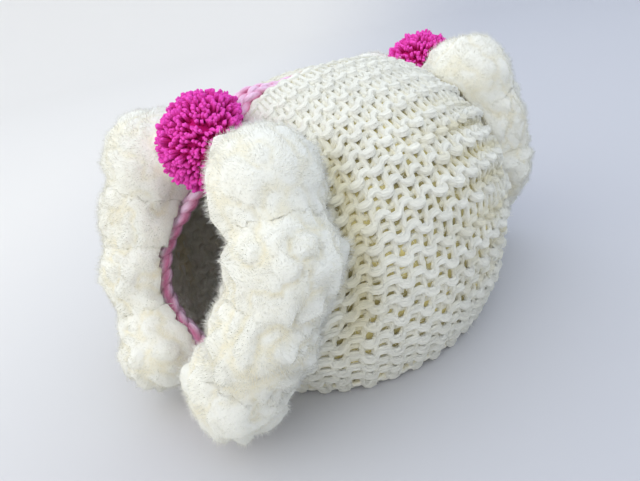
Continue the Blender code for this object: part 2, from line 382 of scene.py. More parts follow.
def soften_normals(piece, soft, share):
    """Blend the shading normals of a piece's first points with soft ones; the rest stay.

    soft holds one direction for each of the first points, and share is how much of it counts.
    """
    mesh = piece.data
    own = np.zeros(len(mesh.vertices) * 3, np.float32)
    mesh.vertex_normals.foreach_get("vector", own)
    own = own.reshape(-1, 3)[:len(soft)]
    normals = np.zeros((len(mesh.vertices), 3))
    normals[:len(soft)] = unit(own * (1 - share) + soft * share)
    mesh.normals_split_custom_set_from_vertices(normals)


# ---------------------------------------------------------------- materials

def set_inputs(node, inputs):
    """Give a node's inputs their values; inputs are named or numbered."""
    for name, value in inputs.items():
        node.inputs[name].default_value = value


def new_node(tree, kind, place, inputs=None, **values):
    """A shader node at a place in the editor, with values for its inputs and properties."""
    node = tree.nodes.new(kind)
    node.location = place
    for name, value in values.items():
        setattr(node, name, value)
    set_inputs(node, inputs or {})
    return node


def link_all(tree, *links):
    """Link nodes of a tree; a link is a node, its output, the next node and its input."""
    for start, output, end, entrance in links:
        tree.links.new(start.outputs[output], end.inputs[entrance])


def wool_detail_group():
    """Shared effect: fine fibres and soft mottling, as a colour and a height.

    Fibres are a fine noise over the place that the material puts in. Mottling is a coarse one
    over Object coordinates. The shade colour takes over where the attribute 'sunk' rises, as
    painted shade.
    """
    tree = bpy.data.node_groups.new("Wool detail", "ShaderNodeTree")
    for name, kind, value in (
            ("Colour", "NodeSocketColor", (0.8, 0.8, 0.8, 1)),
            ("Shade colour", "NodeSocketColor", (0.4, 0.4, 0.4, 1)),
            ("Place", "NodeSocketVector", (0, 0, 0)),
            ("Fibre scale", "NodeSocketFloat", 900.0),
            ("Mottle scale", "NodeSocketFloat", 60.0),
            ("Mottle", "NodeSocketFloat", 0.1),
            ("Streak", "NodeSocketFloat", 0.2)):
        socket = tree.interface.new_socket(name, in_out="INPUT", socket_type=kind)
        socket.default_value = value
    tree.interface.new_socket("Colour", in_out="OUTPUT", socket_type="NodeSocketColor")
    tree.interface.new_socket("Height", in_out="OUTPUT", socket_type="NodeSocketFloat")
    entry = new_node(tree, "NodeGroupInput", (-900, 0))
    leave = new_node(tree, "NodeGroupOutput", (700, 0))
    place = new_node(tree, "ShaderNodeTexCoord", (-900, -300))
    fibre = new_node(tree, "ShaderNodeTexNoise", (-600, -300),
                     {"Detail": 3.0, "Roughness": 0.6, "Distortion": 1.5})
    mottle = new_node(tree, "ShaderNodeTexNoise", (-600, -600), {"Detail": 2.0})
    # The attribute 'sunk' says how much painted shade a point takes.
    deep = new_node(tree, "ShaderNodeAttribute", (-600, 300), attribute_name="sunk")
    blend = new_node(tree, "ShaderNodeMix", (-200, 200), data_type="RGBA")
    centred = {"From Min": 0.3, "From Max": 0.7, "To Min": -0.5, "To Max": 0.5}
    spread = new_node(tree, "ShaderNodeMapRange", (-300, -500), centred)
    fine = new_node(tree, "ShaderNodeMapRange", (-300, -200), centred)
    streaks = new_node(tree, "ShaderNodeMath", (-100, -200), {2: 1.0}, operation="MULTIPLY_ADD")
    amount = new_node(tree, "ShaderNodeMath", (100, -300), operation="MULTIPLY_ADD")
    tint = new_node(tree, "ShaderNodeVectorMath", (300, 100), operation="SCALE")
    link_all(tree,
             (entry, "Place", fibre, "Vector"),
             (place, "Object", mottle, "Vector"),
             (entry, "Fibre scale", fibre, "Scale"),
             (entry, "Mottle scale", mottle, "Scale"),
             (deep, "Fac", blend, "Factor"),
             (entry, "Colour", blend, "A"),
             (entry, "Shade colour", blend, "B"),
             (mottle, "Fac", spread, "Value"),
             (spread, "Result", amount, 0),
             (entry, "Mottle", amount, 1),
             (fibre, "Fac", fine, "Value"),
             (fine, "Result", streaks, 0),
             (entry, "Streak", streaks, 1),
             (streaks, "Value", amount, 2),
             (blend, "Result", tint, 0),
             (amount, "Value", tint, "Scale"),
             (tint, "Vector", leave, "Colour"),
             (fibre, "Fac", leave, "Height"))
    return tree


def wool_material(name, colour, shade_colour, fibre_scale, bump, sheen=0.0, mottle=0.1,
                  streak=0.0, yarn_turn=0.0):
    """Matt wool: the shared detail group colours it and raises its fibres.

    With yarn_turn, the length once round the yarn, fibres are streaks along the yarn's own
    UV map.
    """
    material = bpy.data.materials.new(name)
    material.use_nodes = True
    tree = material.node_tree
    shader = tree.nodes["Principled BSDF"]
    set_inputs(shader, {"Roughness": 0.9, "Specular IOR Level": 0.15, "Sheen Weight": sheen,
                        "Sheen Roughness": 0.5})
    group = bpy.data.node_groups.get("Wool detail") or wool_detail_group()
    detail = new_node(tree, "ShaderNodeGroup", (-600, 200), {
        "Colour": (*colour, 1), "Shade colour": (*shade_colour, 1), "Fibre scale": fibre_scale,
        "Mottle": mottle, "Streak": streak}, node_tree=group)
    place = new_node(tree, "ShaderNodeTexCoord", (-1100, 200))
    if yarn_turn:
        drawn = new_node(tree, "ShaderNodeMapping", (-850, 200), {"Scale": (0.3, yarn_turn, 1)})
        link_all(tree, (place, "UV", drawn, "Vector"), (drawn, "Vector", detail, "Place"))
    else:
        link_all(tree, (place, "Object", detail, "Place"))
    raised = new_node(tree, "ShaderNodeBump", (-300, -200), {"Strength": bump, "Distance": 0.7 * MM})
    link_all(tree, (detail, "Colour", shader, "Base Color"), (detail, "Height", raised, "Height"),
             (raised, "Normal", shader, "Normal"))
    return material


def fibre_material(name, colour):
    """Wool for fine loose fibres, which cast no shadow because they pass most light on."""
    material = wool_material(name, colour, colour, 900, 0.0, sheen=0.6)
    tree = material.node_tree
    ray = new_node(tree, "ShaderNodeLightPath", (0, 500))
    clear = new_node(tree, "ShaderNodeBsdfTransparent", (0, 150))
    either = new_node(tree, "ShaderNodeMixShader", (300, 400))
    link_all(tree, (ray, "Is Shadow Ray", either, "Fac"),
             (tree.nodes["Principled BSDF"], "BSDF", either, 1), (clear, "BSDF", either, 2),
             (either, "Shader", tree.nodes["Material Output"], "Surface"))
    return material


# ---------------------------------------------------------------- knitted panels

def row_sag(across, level):
    """How far the rows are pulled out of level: down in the lower middle, up below the crest.

    Both pulls are half sine waves in level. They grow from the spout side to the middle and
    fade toward the handle.
    """
    low = np.sin(math.pi * ramp(level, 0.0, 0.58)) * ramp(across, -0.55, 0.1)
    high = np.sin(math.pi * ramp(level, 0.68, 1.0)) * ramp(across, -0.5, 0.1)
    ease = ramp(across, 1.0, 0.3)
    return (0.035 * high - 0.055 * low) * ease


def furrow_depth(across, level):
    """How deep the cloth lies in its furrows, from 0 to 1.

    A row of furrows runs to the handle pompoms, and one crease lies beside the spout's.
    """
    side = ramp(across, -0.3, 0.15) * ramp(across, 1.0, 0.75)
    rise = ramp(level, 0.08, 0.2) * ramp(level, 0.74, 0.6)
    wave = (1 + np.cos(2 * math.pi * (level + 0.08 * across - 0.19) / FURROW_PITCH)) / 2
    crease = np.exp(-((across + 0.54) / 0.07) ** 2) * ramp(level, 0.12, 0.25) * ramp(level, 0.8, 0.7)
    return np.maximum(side * rise * wave ** 2, crease)


def knit_yarn(settings, seed, crest_drop, crest_lift):
    """Middle line, thickness, depth and furrows of the one yarn that a panel is knitted from.

    Along a row the yarn runs through t, one turn of t for each stitch. Its place across is
    t plus a small sin 2t, which makes the loops' heads and feet fuller. Its place up the
    cloth is minus cos t times the loop height. It swings out of the cloth and into it by
    the cube of cos t times the loop depth, and the sign changes from row to row, so the
    heads of one row and the feet of the next come to the front together as a garter ridge,
    with the legs upright between them. Feet swing further than heads. Points crowd where
    the yarn bends most. Rows end a little inside the panel's side edges, and yarn is
    thinner in the shorter ones. The crest is lifted a little, or sunk.
    """
    rng = np.random.default_rng(seed)
    levels = np.linspace(0, 1, SAMPLES)
    up_share, height = arc_share(plain_surface(np.zeros(SAMPLES), levels))
    places = np.linspace(-1, 1, SAMPLES)
    across_share, _ = arc_share(plain_surface(places, np.full(SAMPLES, SPACING_LEVEL)))
    turns = np.arange(settings.stitches * settings.segments + 1) / settings.segments
    t = 2 * math.pi * turns
    t = t - 0.15 * np.sin(2 * t)
    margin = settings.loop_height + 2.5 * MM
    row_height = np.linspace(margin, height - margin - crest_drop, settings.rows)
    centres = np.arange(settings.stitches + 1)
    rows = []
    for row in range(settings.rows):
        uneven = rng.normal(0, settings.unevenness, (3, settings.stitches + 1))
        taller, wider, deeper = (np.interp(turns, centres, values) for values in uneven)
        share = (turns + settings.loop_lean * np.sin(2 * t) + 0.5 * wider) / settings.stitches
        share = 0.008 + 0.984 * np.clip(share, 0, 1)
        climb = row_height[row] - settings.loop_height * (1 + taller) * np.cos(t)
        across = np.interp(share, across_share, places)
        level = np.interp(climb / height, up_share, levels)
        level = level + row_sag(across, level)
        side = 1 if row % 2 else -1
        calm = settings.crest_calm * ramp(level, 0.6, 0.9)
        swing = settings.loop_depth * (1 + settings.foot_lift * np.cos(t) + deeper) * (1 - calm)
        depth = settings.cloth_middle + side * swing * np.cos(t) ** 3
        depth = depth - crest_lift * ramp(level, *CREST_RAMP)
        normal = surface_normal(across, level)
        furrow = furrow_depth(across, level)
        path = panel_surface(across, level) - normal * (depth + settings.furrow * furrow)[:, None]
        width = arc_share(path)[1] / settings.stitches
        full = settings.yarn_radius * (0.86 + 0.14 * ramp(width, 0.014, 0.021))
        head = settings.head_slimness * (1 - np.cos(t)) / 2
        leg = settings.leg_slimness * np.sin(t) ** 2 * (1 - 0.6 * ramp(level, 0.7, 0.95))
        radius = full * (1 - head - leg + 0.5 * deeper) * (1 + 0.15 * calm)
        path[:, 2] = np.maximum(path[:, 2], radius)
        order = slice(None, None, -1) if row % 2 else slice(None)
        rows.append([values[order] for values in (path, radius, normal, depth, furrow)])
    return [np.concatenate(values) for values in zip(*rows)]


def mirrored(points, faces, corner_uv, side):
    """The -Y panel's arrays as they are, or turned over to the +Y side with its faces kept outward."""
    if side < 0:
        return points, faces, corner_uv
    blocks = np.split(corner_uv, np.cumsum([face.size for face in faces])[:-1])
    uv = [block.reshape(*face.shape, 2)[:, ::-1].reshape(-1, 2) for block, face in zip(blocks, faces)]
    return points * (1, -1, 1), [face[:, ::-1] for face in faces], np.concatenate(uv)


def plait(line, out, length, width, depth, radius, sides, size=1.0):
    """Three strands plaited along a line: points, faces, texture places and how deep each lies.

    Each strand swings sideways as sin s and in and out as sin 2s, and s makes one turn in
    each plait length. The strands are a third of a turn apart, swell at the plait's sides
    and taper at its ends. out is the direction that the plait faces, and size its size in places.
    How deep a point lies gives the shade painted between the strands.
    """
    size = np.broadcast_to(size, len(line))
    share, whole = arc_share(line)
    along = unit(np.gradient(line, axis=0))
    out = unit(out - along * (out * along).sum(axis=1, keepdims=True))
    wide = np.cross(out, along)
    end = np.minimum(ramp(share * whole, -1 * MM, 4 * MM), ramp((1 - share) * whole, -1 * MM, 4 * MM))
    strands = []
    shades = []
    for strand in range(3):
        s = 2 * math.pi * (share * whole / length + strand / 3)
        path = (line + (width * size * np.sin(s))[:, None] * wide
                + (depth * size * np.sin(2 * s))[:, None] * out)
        points, faces, uv = tube(path, radius * size * (1 - 0.14 * np.cos(2 * s)) * end, out, sides)
        strands.append((points, faces, uv))
        # Painted shade: a strand takes the shade colour where it lies deep among the others.
        proud = ((points.reshape(len(line), sides, 3) - line[:, None]) * out[:, None]).sum(axis=2)
        shades.append(ramp(np.abs(proud) / (radius + depth), 0.75, 0.1).reshape(-1))
    return *joined(strands), np.concatenate(shades)


def yarn_fuzz(path, skin, settings, rng):
    """Loose fibres on the yarn's outer side, leaning along it and away from the cloth.

    path is the yarn's middle line and skin the points round it, one ring for each of its
    points. Returns the fibres' points and triangles.
    """
    rings, sides = skin.shape[:2]
    ring = rng.integers(2, rings - 2, settings.fuzz)
    corner = rng.integers(0, sides // 2 + 1, settings.fuzz)
    root = skin[ring, corner]
    out = unit(root - path[ring])
    along = unit(path[ring + 1] - path[ring - 1])
    lean = unit(out + along * rng.normal(0, 0.9, (settings.fuzz, 1)) + rng.normal(0, 0.45, out.shape))
    length = settings.fuzz_length * rng.uniform(0.4, 1.3, (settings.fuzz, 1))
    return spikes(root - out * 0.2 * MM, root + lean * length, settings.fuzz_radius, out)


def edge_line(level, depth):
    """A line along the rows at one level of the cloth, and the cloth's outward direction there."""
    across = np.linspace(-GROUND_REACH, GROUND_REACH, 131)
    level = np.full(len(across), level)
    normal = surface_normal(across, level)
    return panel_surface(across, level) - normal * depth, normal


def build_stitches(name, side, settings, material, fibre, seed):
    """The panel's yarn, its loose fibres and the plaits of its hem and crest.

    Shade is painted on the yarn where it lies deep and in the cloth's furrows. The near
    panel's crest is lifted a little. The far panel's is sunk, and its knitting ends a little lower.
    """
    rng = np.random.default_rng(seed)
    crest_drop = settings.crest_drop if side > 0 else 0.0
    crest_lift = -settings.crest_sink if side > 0 else settings.crest_lift
    path, radius, facing, depth, furrow = knit_yarn(settings, seed, crest_drop, crest_lift)
    knit = tube(path, radius, facing, settings.sides)
    skin = knit[0].reshape(len(path), settings.sides, 3)
    rise = ((skin - path[:, None]) * facing[:, None]).sum(axis=2)
    height = rise - depth[:, None] + settings.cloth_middle
    # Painted shade: yarn takes the shade colour where it lies deep in the cloth's middle and in the
    # furrows.
    deep = (settings.leg_shade * ramp(np.abs(height), 1.8 * MM, 0.3 * MM)
            + settings.furrow_shade * furrow[:, None])
    shades = [np.clip(deep, 0, 1).reshape(-1)]
    parts = [knit]
    for level, lift in ((settings.hem_level, 0.0),
                        (1 - settings.hem_level - crest_drop / MIDDLE_HEIGHT, crest_lift)):
        line, out = edge_line(level, settings.cloth_middle - lift)
        *part, shade = plait(line, out, settings.hem_length, *HEM_PLAIT, settings.sides)
        parts.append(part)
        shades.append(shade)
    points, faces, uv = joined(parts)
    fuzz_points, fuzz_faces = yarn_fuzz(path, skin, settings, rng)
    faces = [*faces, fuzz_faces + len(points)]
    points = np.concatenate([points, fuzz_points])
    uv = np.concatenate([uv, np.zeros((fuzz_faces.size, 2))])
    shades.append(np.zeros(len(fuzz_points)))
    points[:, 2] = np.maximum(points[:, 2], 0)
    points, faces, uv = mirrored(points, faces, uv, side)
    stitches = new_piece(name, points, faces, material, corner_uv=uv,
                         sunk=np.concatenate(shades))
    last_faces_take(stitches, fibre, len(fuzz_faces))
    soft = facing[:, None] * np.clip(height / (1.5 * MM), -1, 1)[..., None]
    soften_normals(stitches, soft.reshape(-1, 3) * (1, -side, 1), settings.softness)
    return stitches


def build_ground(name, side, settings, outer, inner):
    """Thin closed ground behind the stitches: a grid over the cloth's shape, then Solidify.

    It lies ground_depth under the panel's outer face, with the furrows and the lifted or sunk
    crest of the stitches. Its inner layer takes the second material.
    """
    across = np.linspace(-GROUND_REACH, GROUND_REACH, 47)
    level = np.linspace(*GROUND_LEVELS, 39)
    grid_across, grid_level = np.meshgrid(across, level)
    normal = surface_normal(grid_across, grid_level)
    crest_lift = -GROUND_CREST_SHARE * settings.crest_sink if side > 0 else settings.crest_lift
    depth = (settings.ground_depth + settings.furrow * furrow_depth(grid_across, grid_level)
             - crest_lift * ramp(grid_level, *CREST_RAMP))
    points = panel_surface(grid_across, grid_level) - normal * depth[..., None]
    rows, columns = points.shape[:2]
    index = np.arange(rows * columns).reshape(rows, columns)
    corners = (index[:-1, :-1], index[:-1, 1:], index[1:, 1:], index[1:, :-1])
    quads = np.stack(corners, axis=-1).reshape(-1, 4)
    u, v = np.meshgrid(np.linspace(0, 1, columns), np.linspace(0, 1, rows))
    corner_uv = np.stack([u, v], axis=-1).reshape(-1, 2)[quads].reshape(-1, 2)
    points, faces, corner_uv = mirrored(points.reshape(-1, 3), [quads], corner_uv, side)
    ground = new_piece(name, points, faces, outer, corner_uv=corner_uv)
    ground.data.materials.append(inner)
    layer = ground.modifiers.new("Ground thickness", "SOLIDIFY")
    layer.thickness = settings.ground_thickness
    layer.offset = -1
    layer.material_offset = 1
    return ground


# ---------------------------------------------------------------- edgings

def edging_route():
    """Centre line of the -Y panel's edging: up the spout side, over the crest, down again.

    It stands off the panel's edge, swings wider at the corners and is smoothed there, and
    keeps to its own side of the middle. Returns its points and the cloth's outward direction.
    """
    side_level = np.linspace(0, 1, EDGING_LEVELS)[1:]
    crest_across = np.linspace(-1, 1, EDGING_ACROSS)[1:-1]
    across = np.concatenate([-np.ones(len(side_level)), crest_across, np.ones(len(side_level))])
    level = np.concatenate([side_level, np.ones(len(crest_across)), side_level[::-1]])
    edge = panel_surface(across, level)
    normal = surface_normal(across, level)
    away = unit(np.cross(normal, np.gradient(edge, axis=0)))
    sunk = SEAM_SINK * ramp(across, -0.55, -0.35) * ramp(across, 0.9, 0.7)
    sunk = np.where(level == 1, sunk - SEAM_RISE * ramp(across, -0.5, -0.65), 0)
    order = np.arange(len(level))
    corner = np.zeros(len(level))
    for station in (len(side_level) - 1, len(level) - len(side_level)):
        corner += np.exp(-((order - station) / CORNER_STATIONS) ** 2)
    reach = EDGING_RADIUS + EDGING_CLEARANCE + CORNER_EASE * corner
    route = edge - normal * (CLOTH / 2 + sunk)[:, None] + away * reach[:, None]
    for _ in range(CORNER_SMOOTHING):
        middle = (route[:-2] + 2 * route[1:-1] + route[2:]) / 4
        route[1:-1] += (middle - route[1:-1]) * np.minimum(corner[1:-1], 1)[:, None]
    route[:, 1] = np.minimum(route[:, 1], -(EDGING_RADIUS + GAP / 2))
    return route, normal


def build_edging(name, side, settings, material):
    """A plait of three pink strands along the edging's route, slimmer along the crest."""
    route, normal = edging_route()
    share, length = arc_share(route)
    fine = np.linspace(0, 1, int(length / settings.plait_step))
    line = resampled(route, share, fine)
    out = resampled(normal, share, fine)
    for _ in range(4):
        line[1:-1] = (line[:-2] + 2 * line[1:-1] + line[2:]) / 4
    size = 1 - settings.crest_slimness * ramp(line[:, 2], 118 * MM, 128 * MM)
    points, faces, uv, shade = plait(line, out, settings.plait_length, settings.plait_width,
                                     settings.plait_depth, settings.strand_radius,
                                     settings.strand_sides, size)
    points, faces, uv = mirrored(points, faces, uv, side)
    return new_piece(name, points, faces, material, corner_uv=uv, sunk=shade)


# ---------------------------------------------------------------- pompoms

def solid_reach(node, centre, directions):
    """How far the node's solid reaches from centre in each direction.

    The solid is convex, so a ray leaves it at the nearest of its faces' planes.
    """
    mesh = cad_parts[node].data
    count = len(mesh.polygons)
    normals = np.zeros(count * 3)
    middles = np.zeros(count * 3)
    mesh.polygons.foreach_get("normal", normals)
    mesh.polygons.foreach_get("center", middles)
    normals = normals.reshape(-1, 3)
    height = (normals * (middles.reshape(-1, 3) - centre)).sum(axis=1)
    facing = directions @ normals.T
    return np.where(facing > 1e-3, height / np.maximum(facing, 1e-3), np.inf).min(axis=1)


def cloth_balls():
    """Centres and radii of small balls that fill both panels and both edgings."""
    across, level = np.meshgrid(np.linspace(-1, 1, 73), np.linspace(0.02, 1, 69))
    cloth = (panel_surface(across, level) - surface_normal(across, level) * CLOTH / 2).reshape(-1, 3)
    route, _ = edging_route()
    share, length = arc_share(route)
    edging = resampled(route, share, np.linspace(0, 1, int(length / (1.5 * MM))))
    near = np.concatenate([cloth, edging])
    radius = np.concatenate([np.full(len(cloth), CLOTH / 2), np.full(len(edging), 1.6 * EDGING_RADIUS)])
    return np.concatenate([near, near * (1, -1, 1)]), np.concatenate([radius, radius])


def shared_surface(points, balls):
    """One soft surface round all the balls: depth inside it, its outward direction, shares.

    Each ball counts as e to the depth inside it, in units of BLEND. The depth inside the
    soft surface is the logarithm of the sum. Shares say how much each ball counts.
    """
    away = points[:, None] - balls[0]
    distance = np.linalg.norm(away, axis=2)
    weight = np.exp((balls[1] - distance) / BLEND)
    total = weight.sum(axis=1)
    outward = unit((away * (weight / distance)[..., None]).sum(axis=1))
    return BLEND * np.log(total), outward, weight / total[:, None]


def seam_room(centre, directions, balls, settings):
    """Room in each direction before a white pompom meets the pompoms beside it.

    Two pompoms meet where their spheres cross, and SEAM_OVERLAP further. That plane sways with
    a soft noise, the same one for both.
    """
    radius = settings.radius
    between = balls[0] - centre
    distance = np.linalg.norm(between, axis=1)
    close = (distance > 0) & (distance < radius + balls[1])
    distance = distance[close]
    normals = between[close] / distance[:, None]
    height = (distance ** 2 + radius ** 2 - balls[1][close] ** 2) / (2 * distance) + SEAM_OVERLAP
    facing = directions @ normals.T
    steep = np.maximum(facing, 0.05)
    room = np.full(len(directions), np.inf)
    for plane, normal in enumerate(normals):
        meets = centre + directions * (height[plane] / steep[:, plane])[:, None]
        sway = soft_noise(meets, 5 * MM, np.random.default_rng(5)) * np.sign(normal @ (0.3, 0.5, 0.8))
        reach = (height[plane] + settings.sway * sway) / steep[:, plane]
        room = np.minimum(room, np.where(facing[:, plane] > 0.05, reach, np.inf))
    return room


def cloth_room(centre, directions, cloth, radius):
    """Room in each direction before the cloth, and how far from it the plain sphere lies.

    cloth holds the centres and radii of the balls that fill it. A ray may go on to GAP before
    it enters the first of them.
    """
    away = cloth[0] - centre
    close = np.linalg.norm(away, axis=1) < radius + cloth[1]
    away = away[close]
    thick = cloth[1][close]
    along = directions @ away.T
    beside = (away ** 2).sum(axis=1) - along ** 2
    enters = along - np.sqrt(np.maximum(thick ** 2 - beside, 0))
    hits = (along > 0) & (beside < thick ** 2)
    room = np.where(hits, enters, np.inf).min(axis=1) - GAP
    square = (away ** 2).sum(axis=1) + radius ** 2 - 2 * radius * along
    return room, np.maximum((np.sqrt(np.maximum(square, 0)) - thick).min(axis=1), 0)


def pressed_reach(centre, directions, balls, cloth, settings):
    """Reach of a fleecy ball beside what it touches, and how far it stays from the cloth.

    balls are the centres and radii of all pompoms, and cloth those of the balls that fill the
    cloth. The sphere first grows to the soft surface that the pompoms share, up to its seams
    with them. Beside the cloth it swells by the bulge, which fades as e to minus the square
    of the distance, and stops at the cloth.
    """
    room = seam_room(centre, directions, balls, settings)
    near = np.linalg.norm(balls[0] - centre, axis=1) < 3 * settings.radius
    reach = np.full(len(directions), settings.radius)
    for _ in range(8):
        depth, _, _ = shared_surface(centre + directions * reach[:, None],
                                     (balls[0][near], balls[1][near]))
        reach = np.minimum(reach + depth, room)
    open_room, apart = cloth_room(centre, directions, cloth, settings.radius)
    swollen = reach + settings.bulge * np.exp(-(apart / settings.bulge_width) ** 2)
    left = np.maximum(open_room - swollen, 0)
    return np.minimum(swollen, np.minimum(room, open_room)), np.minimum(apart, left)


def ball_mesh(subdivisions):
    """Directions and triangles of an icosphere."""
    ball = bmesh.new()
    bmesh.ops.create_icosphere(ball, subdivisions=subdivisions, radius=1.0)
    directions = np.array([vertex.co for vertex in ball.verts], float)
    triangles = np.array([[vertex.index for vertex in face.verts] for face in ball.faces])
    ball.free()
    return unit(directions), triangles


def fleece(centre, directions, balls, calm, cloth, settings):
    """Points of a pompom's fleece in some directions, and how deep each lies.

    The pressed ball's points are moved along the shared surface's outward direction by the
    size of two soft noises, so that lumps are round on top with soft creases where a noise
    passes zero, and by one wide noise. A flow of noises bends the lumps' outlines. All pompoms
    take the same noises, so lumps run on across a seam. The relief fades beside the cloth,
    and calm says how much of it each ball loses. How deep a point lies says how much shade
    is painted on it: in the creases between lumps, and beside the cloth.
    """
    rng = np.random.default_rng(9)
    reach, apart = pressed_reach(centre, directions, balls, cloth, settings)
    points = centre + directions * reach[:, None]
    _, outward, shares = shared_surface(points, balls)
    place = points + 2.2 * MM * flow(points, 6 * MM, rng)
    wide = soft_noise(place, 13 * MM, rng)
    lumps = np.sqrt(soft_noise(place, 8 * MM, rng) ** 2 + 0.02)
    curls = np.sqrt(soft_noise(place, 4 * MM, rng) ** 2 + 0.03)
    lively = (1 - shares @ calm) * ramp(apart, 0.0, 3.0 * MM)
    relief = settings.relief * lively * (1.1 * wide + 3.2 * (lumps - 0.3) + 0.5 * (curls - 0.3) - 1.2)
    # Painted shade: the shade colour fills the creases between lumps and the fleece beside the cloth.
    deep = 0.7 * ramp(lumps, 0.3, 0.14) + 0.3 * ramp(curls, 0.3, 0.17) - 0.15
    deep = np.clip(deep, 0, 1) * lively
    return points + outward * relief[:, None], np.maximum(deep, 0.6 * ramp(apart, 2.0 * MM, 0.0))


def build_white_pompom(name, centre, settings, balls, calm, cloth, materials, seed, mesh):
    """A lumpy fleece ball under a coat of fine fibres.

    balls and cloth are centres and radii of all pompoms and of the cloth's small balls. Each
    fibre leans at random and with its neighbours. The ball takes most of its shading from
    the soft surface that all pompoms share, which softens creases and seams.
    """
    rng = np.random.default_rng(seed)
    directions, triangles = mesh
    count = settings.fibres
    body, deep = fleece(centre, directions, balls, calm, cloth, settings)
    roots = sphere_directions(3 * count, rng, 1.2)
    reach, apart = pressed_reach(centre, roots, balls, cloth, settings)
    inside, _, _ = shared_surface(centre + roots * reach[:, None], balls)
    roots = roots[(inside < 2.2 * MM) & (apart > 0.3 * MM)]
    roots = roots[rng.permutation(len(roots))[:count]]
    start, _ = fleece(centre, roots, balls, calm, cloth, settings)
    _, out, _ = shared_surface(start, balls)
    lean = unit(out + 1.6 * settings.fibre_lean * flow(start, 5 * MM, rng)
                + rng.normal(0, 0.5 * settings.fibre_lean, roots.shape))
    length = settings.fibre_length * rng.uniform(0.45, 1.25, (len(roots), 1))
    fur, fur_faces = spikes(start - out * 0.4 * MM, start + lean * length, settings.fibre_radius, out)
    points = np.concatenate([body, fur])
    points[:, 2] = np.maximum(points[:, 2], FLOOR_GAP)
    pompom = new_piece(name + "_pile", points, [np.concatenate([triangles, fur_faces + len(body)])],
                       materials[0], sunk=np.concatenate([deep, np.zeros(len(fur))]))
    last_faces_take(pompom, materials[1], len(fur_faces))
    _, shared, _ = shared_surface(body, balls)
    soften_normals(pompom, shared, settings.softness)
    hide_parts(name)
    return pompom


def ply_lines(name, centre, settings, rng):
    """Foot, direction and length of each ply of a magenta pompom.

    Yarn ends stand evenly over the ball, each with its plies close together. An end leans a
    little and is a little too long or too short, and so is each of its plies.
    """
    bunches = settings.ends // PLIES
    bunch = sphere_directions(bunches, rng, 1.0)
    bunch_lean = rng.normal(0, 0.09, bunch.shape)
    bunch_length = rng.normal(0, 0.55 * MM, bunches) + rng.exponential(0.3 * MM, bunches)
    own = np.repeat(np.arange(bunches), PLIES)
    roots = unit(bunch[own] + rng.normal(0, 0.026, (len(own), 3)))
    outer = solid_reach(name, centre, roots)
    tip = outer - 0.1 * MM + bunch_length[own] + rng.normal(0, 0.3 * MM, len(own))
    lean = unit(roots + bunch_lean[own] + rng.normal(0, 0.07, roots.shape))
    return centre + roots * (ROOT_SHARE * outer)[:, None], lean, tip - ROOT_SHARE * outer


def ply_rings(base, lean, length, settings, rng):
    """Rings of points round each ply, after PLY_PROFILE; those at its tip lie askew."""
    count = len(base)
    sides = settings.end_sides
    share, swell = PLY_PROFILE.T
    beside = unit(np.cross(lean, rng.normal(0, 1, lean.shape)))
    thick = settings.end_radius * rng.uniform(0.8, 1.2, count)
    ragged = 1 + rng.normal(0, 0.12, (count, 1, sides, 1))
    angle = 2 * math.pi * np.arange(sides) / sides
    ring = circles(beside, np.cross(lean, beside), angle)[:, None] * ragged
    middle = base[:, None] + lean[:, None] * (share * length[:, None])[..., None]
    rings = middle[:, :, None] + ring * (swell * thick[:, None])[..., None, None]
    askew = rng.normal(0, 0.22 * MM, (count, 1, sides, 1)) * (share > 0.9)[:, None, None]
    return rings + lean[:, None, None] * askew


def ply_faces(count, sides, first):
    """Walls, tips and feet of the plies; first is the number of their first point."""
    size = len(PLY_PROFILE) * sides
    index = np.arange(size).reshape(-1, sides)
    turned = np.roll(index, -1, axis=1)
    walls = np.stack([index[:-1], turned[:-1], turned[1:], index[1:]], axis=-1).reshape(-1, 4)
    start = first + size * np.arange(count)[:, None, None]
    return [(start + kind).reshape(-1, kind.shape[-1]) for kind in (walls, index[-1:], index[:1, ::-1])]


def ply_uv(count, sides, rng):
    """Texture places of those faces: v goes once round a ply, u counts rings from any start."""
    rings = len(PLY_PROFILE) - 1
    around = np.arange(sides)
    v = np.stack([around, around + 1, around + 1, around], axis=-1) / sides
    u = np.repeat(np.arange(rings), sides)[:, None] + np.array([0, 0, 1, 1])
    walls = np.stack([u, np.tile(v, (rings, 1))], axis=-1) + rng.uniform(0, 50, (count, 1, 1, 2)) * (1, 0)
    return np.concatenate([walls.reshape(-1, 2), np.zeros((2 * count * sides, 2))])


def build_magenta_pompom(name, centre, settings, material, seed, core):
    """Cut yarn ends, each of three plies, standing out of a dark core.

    Each ply is a short tube along its own direction, from inside the core to the solid's
    reach. It swells toward its tip, which is cut nearly flat, and is painted darker toward its
    root as shade; the core is painted all in that shade.
    """
    rng = np.random.default_rng(seed)
    directions, triangles = core
    inner = centre + directions * CORE_SHARE * solid_reach(name, centre, directions)[:, None]
    rings = ply_rings(*ply_lines(name, centre, settings, rng), settings, rng)
    count = len(rings)
    # Painted shade: a ply takes the shade colour toward its root, some plies more than others, and the
    # core takes it all over.
    depth = np.broadcast_to(1 - PLY_PROFILE[:, :1], rings.shape[:3])
    shade = rng.uniform(-0.12, 0.15, count)[:, None, None]
    sunk = np.clip(ramp(depth, 0.0, 0.75) + shade, 0, 1).reshape(-1)
    corner_uv = np.concatenate([np.zeros((triangles.size, 2)), ply_uv(count, settings.end_sides, rng)])
    faces = [triangles, *ply_faces(count, settings.end_sides, len(inner))]
    pompom = new_piece(name + "_ends", np.concatenate([inner, rings.reshape(-1, 3)]), faces, material,
                       corner_uv=corner_uv,
                       sunk=np.concatenate([np.ones(len(inner)), sunk]))
    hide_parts(name)
    return pompom


# ---------------------------------------------------------------- settings

def length_setting(name, description, value):
    """A length in metres."""
    return bpy.props.FloatProperty(name=name, description=description, default=value, unit="LENGTH")


